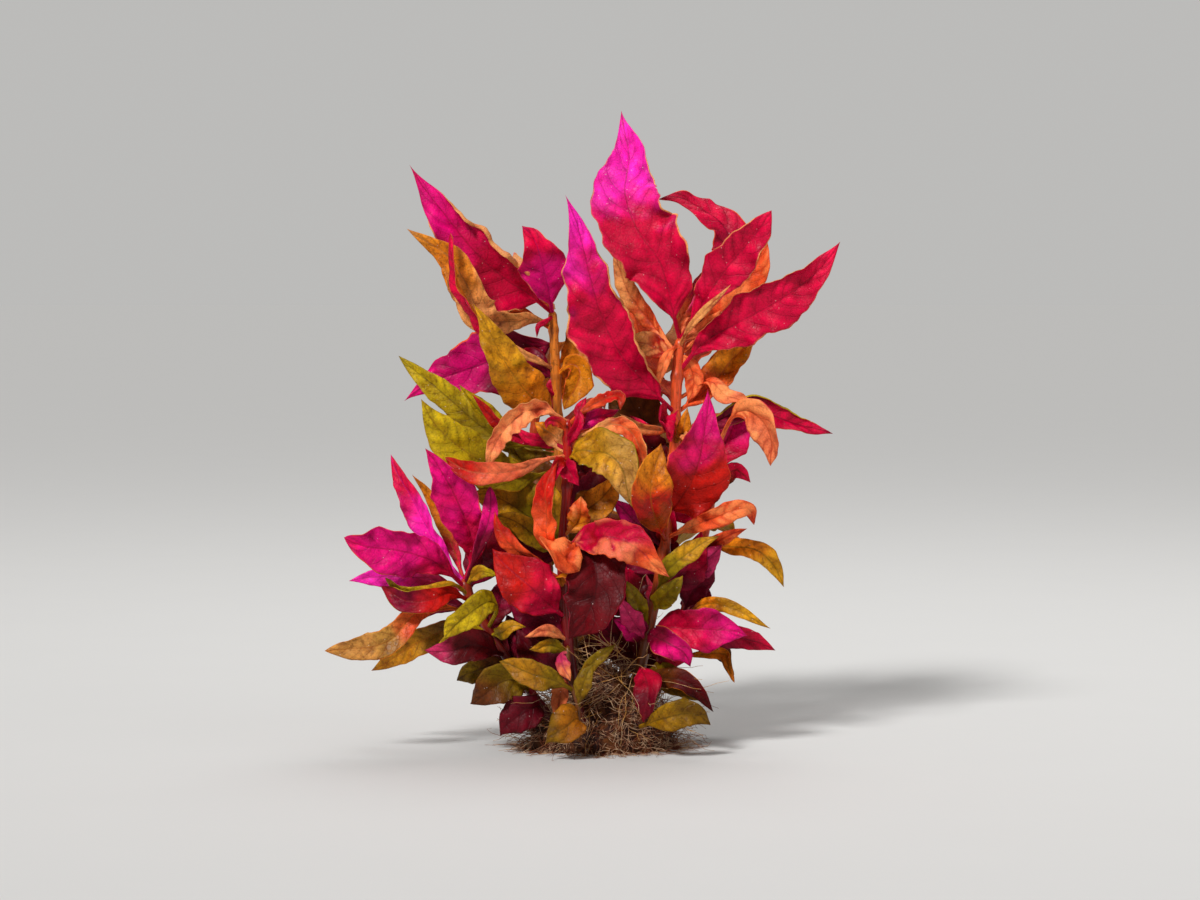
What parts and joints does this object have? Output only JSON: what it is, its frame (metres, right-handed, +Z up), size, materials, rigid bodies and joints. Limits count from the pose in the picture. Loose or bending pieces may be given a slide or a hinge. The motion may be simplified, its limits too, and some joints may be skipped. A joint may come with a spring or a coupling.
{
  "type": "alternanthera reineckii plant bunch",
  "caption": "Bushy red-leaved aquarium plant: upright jointed stems with lance-shaped magenta, crimson, coral and olive leaves, standing on its own flat-bottomed mat of fine roots.",
  "frame": {"origin": "middle of the flat cut under the root mat", "axes": "+Z up along the stems, +X to the right and -Y towards the front, as the plant is seen"},
  "size_m": [0.1533, 0.0802, 0.1917],
  "materials": {
    "leaf_magenta": "thin living leaf, hot magenta upper side, satin, fine veins",
    "leaf_crimson": "thin living leaf, crimson upper side, satin, fine veins",
    "leaf_coral": "thin living leaf, coral with a paler midrib, satin",
    "leaf_amber": "thin ageing leaf, amber with brown flecks, dull satin",
    "leaf_olive": "thin leaf, olive yellow with darker mottling, dull satin",
    "leaf_wine": "thin leaf, dark wine red to brown, dull satin",
    "stem_amber": "smooth juicy stem, amber orange with darker joints",
    "stem_red": "smooth juicy stem, brownish red with paler joints",
    "roots": "mat of fine tan roots over a dark brown core, rough"
  },
  "bodies": {
    "root": {"left_stem": "stem_amber", "right_stem": "stem_amber", "front_stem": "stem_red", "low_left_stem": "stem_red", "far_right_stem": "stem_red", "back_left_stem": "stem_amber", "back_right_stem": "stem_amber", "front_runner": "stem_red", "left_crown_leaf_1": "leaf_magenta", "left_crown_leaf_2": "leaf_crimson", "left_crown_leaf_3": "leaf_amber", "left_crown_leaf_5": "leaf_magenta", "left_crown_leaf_6": "leaf_amber", "right_crown_leaf_1": "leaf_magenta", "right_crown_leaf_2": "leaf_magenta", "right_crown_leaf_3": "leaf_crimson", "right_crown_leaf_4": "leaf_crimson", "right_crown_leaf_6": "leaf_crimson", "right_crown_leaf_9": "leaf_magenta", "right_crown_leaf_10": "leaf_crimson", "right_crown_leaf_11": "leaf_coral", "left_olive_leaf_1": "leaf_olive", "left_olive_leaf_2": "leaf_olive", "centre_leaf_1": "leaf_coral", "centre_leaf_2": "leaf_coral", "centre_leaf_3": "leaf_amber", "centre_leaf_4": "leaf_crimson", "centre_leaf_7": "leaf_amber", "centre_leaf_10": "leaf_coral", "centre_leaf_12": "leaf_coral", "centre_leaf_13": "leaf_wine", "centre_leaf_14": "leaf_crimson", "right_leaf_1": "leaf_amber", "right_leaf_3": "leaf_coral", "left_shoot_leaf_1": "leaf_magenta", "left_shoot_leaf_2": "leaf_crimson", "left_shoot_leaf_4": "leaf_magenta", "left_shoot_leaf_6": "leaf_wine", "left_shoot_leaf_7": "leaf_amber", "left_shoot_leaf_9": "leaf_olive", "left_shoot_leaf_11": "leaf_magenta", "low_left_leaf_2": "leaf_amber", "low_left_leaf_5": "leaf_olive", "low_right_leaf_1": "leaf_magenta", "low_right_leaf_2": "leaf_magenta", "low_right_leaf_7": "leaf_wine", "low_right_leaf_8": "leaf_olive", "rear_crown_leaf_1": "leaf_magenta", "rear_crown_leaf_2": "leaf_magenta", "rear_crown_leaf_3": "leaf_magenta", "rear_crown_leaf_4": "leaf_magenta", "back_left_leaf_4": "leaf_amber", "back_left_leaf_6": "leaf_coral", "back_left_leaf_7": "leaf_crimson", "back_right_leaf_3": "leaf_crimson", "back_right_leaf_4": "leaf_amber", "back_right_leaf_7": "leaf_crimson", "back_right_leaf_9": "leaf_coral", "back_right_leaf_10": "leaf_magenta", "root_mass": "roots"}
  },
  "joints": []
}
